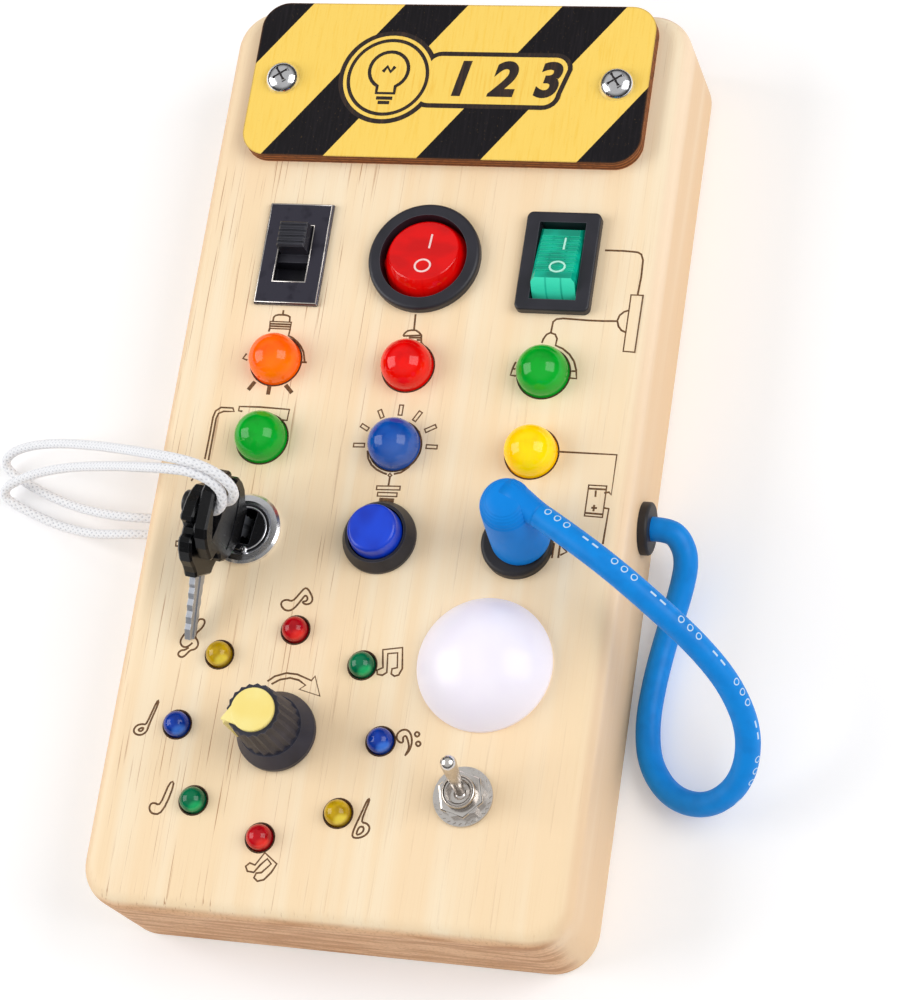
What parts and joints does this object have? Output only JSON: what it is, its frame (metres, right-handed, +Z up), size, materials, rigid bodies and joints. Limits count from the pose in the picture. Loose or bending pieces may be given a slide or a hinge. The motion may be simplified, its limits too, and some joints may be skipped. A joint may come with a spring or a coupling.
{
  "type": "busy board",
  "caption": "Hand-held wooden busy board with switches, coloured lamps, a key lock with two keys, a button, a dial and a plug on a cable.",
  "frame": {"origin": "Under the middle of the case, on the surface that its back rests on.", "axes": "+X to the right of the play face, +Y along the case towards the sign, +Z up out of the play face."},
  "size_m": [0.1693, 0.19, 0.052],
  "materials": {
    "pine": "sanded and clear sealed",
    "plywood": "sanded",
    "sign_print": "printed satin",
    "screw_chrome": "polished",
    "zinc": "zinc plated",
    "battery_case": "moulded",
    "cell_wrap": "gloss wrap",
    "contact_steel": "nickel plated",
    "circuit_board": "solder mask",
    "nylon": "moulded",
    "plate_nickel": "dark nickel",
    "black_plastic": "satin",
    "red_clear": "translucent gloss",
    "green_clear": "translucent gloss",
    "lens_orange": "gloss",
    "lens_red": "gloss",
    "lens_green": "gloss",
    "lens_blue": "gloss",
    "lens_yellow": "gloss",
    "small_red": "clear gloss",
    "small_green": "clear gloss",
    "small_blue": "clear gloss",
    "small_yellow": "clear gloss",
    "cap_blue": "gloss",
    "spring_steel": "drawn wire",
    "lock_chrome": "polished",
    "rotor_black": "black",
    "key_black": "gloss",
    "key_nickel": "nickel plated",
    "white_cord": "braided",
    "bead_black": "gloss",
    "plug_blue": "satin",
    "pin_steel": "nickel plated",
    "grommet_black": "satin",
    "nut_steel": "nickel plated",
    "pot_metal": "plated",
    "knob_black": "satin",
    "cap_cream": "satin",
    "dome_white": "opal gloss",
    "toggle_chrome": "polished"
  },
  "bodies": {
    "board": {"wooden_case": "pine", "back_panel": "plywood", "back_panel_screws": "zinc", "battery_box": "battery_case", "battery_contacts": "contact_steel", "batteries": "cell_wrap", "battery_cover": "battery_case", "battery_cover_screw": "zinc", "control_board": "circuit_board", "board_standoffs": "nylon", "sign_plate": "sign_print", "sign_screws": "screw_chrome", "slide_switch_plate": "plate_nickel", "slide_switch_body": "black_plastic", "round_rocker_housing": "black_plastic", "square_rocker_housing": "black_plastic", "lamp_orange": "lens_orange", "lamp_red": "lens_red", "lamp_green_right": "lens_green", "lamp_green_left": "lens_green", "lamp_blue": "lens_blue", "lamp_yellow": "lens_yellow", "dial_lamps_red": "small_red", "dial_lamps_green": "small_green", "dial_lamps_blue": "small_blue", "dial_lamps_yellow": "small_yellow", "panel_nuts": "nut_steel", "push_button_body": "black_plastic", "push_button_spring": "spring_steel", "lock_housing": "lock_chrome", "key_cord": "white_cord", "spare_key_cord": "white_cord", "cord_knot": "white_cord", "plug_socket": "grommet_black", "plug_cable": "plug_blue", "cable_grommet": "grommet_black", "cable_tail": "plug_blue", "potentiometer": "pot_metal", "dial_nut": "nut_steel", "dome_lens": "dome_white", "lamp_module": "circuit_board", "toggle_body": "toggle_chrome", "toggle_nut_and_washer": "toggle_chrome"},
    "slide_switch_contact": {"slide_switch_slider": "black_plastic"},
    "round_rocker": {"round_rocker_button": "red_clear"},
    "square_rocker": {"square_rocker_button": "green_clear"},
    "push_button": {"push_button_cap": "cap_blue"},
    "dial": {"dial_shaft": "pin_steel", "dial_knob": "knob_black", "dial_cap": "cap_cream"},
    "toggle": {"toggle_lever": "toggle_chrome"},
    "key": {"lock_rotor": "rotor_black", "key_bow": "key_black", "key_blade": "key_nickel", "key_bead": "bead_black"},
    "spare_key": {"spare_key_bow": "key_black", "spare_key_blade": "key_nickel"},
    "plug": {"plug_boot": "plug_blue", "plug_pin": "pin_steel"}
  },
  "joints": [
    {"name": "slide_switch", "type": "slide", "parent": "board", "child": "slide_switch_contact", "axis": [0, 1, 0], "range_m": [-0.006, 0]},
    {"name": "round_rocker_tilt", "type": "hinge", "parent": "board", "child": "round_rocker", "pos_m": [0.00065, 0.0391, 0.0235], "axis": [1, 0, 0], "range_deg": [0, 24]},
    {"name": "square_rocker_tilt", "type": "hinge", "parent": "board", "child": "square_rocker", "pos_m": [0.02805, 0.0391, 0.0235], "axis": [1, 0, 0], "range_deg": [0, 24]},
    {"name": "push_button_press", "type": "slide", "parent": "board", "child": "push_button", "axis": [0, 0, -1], "range_m": [0, 0.0018], "stiffness_N_per_m": 400, "springref_m": -0.0015, "deforming": ["push_button_spring"]},
    {"name": "dial_turn", "type": "hinge", "parent": "board", "child": "dial", "pos_m": [-0.01315, -0.0592, 0.026], "axis": [0, 0, 1], "range_deg": [-261, 39]},
    {"name": "toggle_throw", "type": "hinge", "parent": "board", "child": "toggle", "pos_m": [0.02485, -0.0685, 0.0274], "axis": [1, 0, 0], "range_deg": [0, 28]},
    {"name": "key_turn", "type": "hinge", "parent": "board", "child": "key", "pos_m": [-0.02675, -0.0193, 0.0273], "axis": [0, 0, -1], "range_deg": [0, 90], "deforming": ["key_cord", "spare_key_cord"]},
    {"name": "spare_key_swing", "type": "hinge", "parent": "key", "child": "spare_key", "pos_m": [-0.03095, -0.01984, 0.04145], "axis": [-0.9925, 0.1219, 0], "range_deg": [0, 20]},
    {"name": "plug_pull", "type": "slide", "parent": "board", "child": "plug", "axis": [0, 0, 1], "range_m": [0, 0.012], "deforming": ["plug_cable"]}
  ]
}
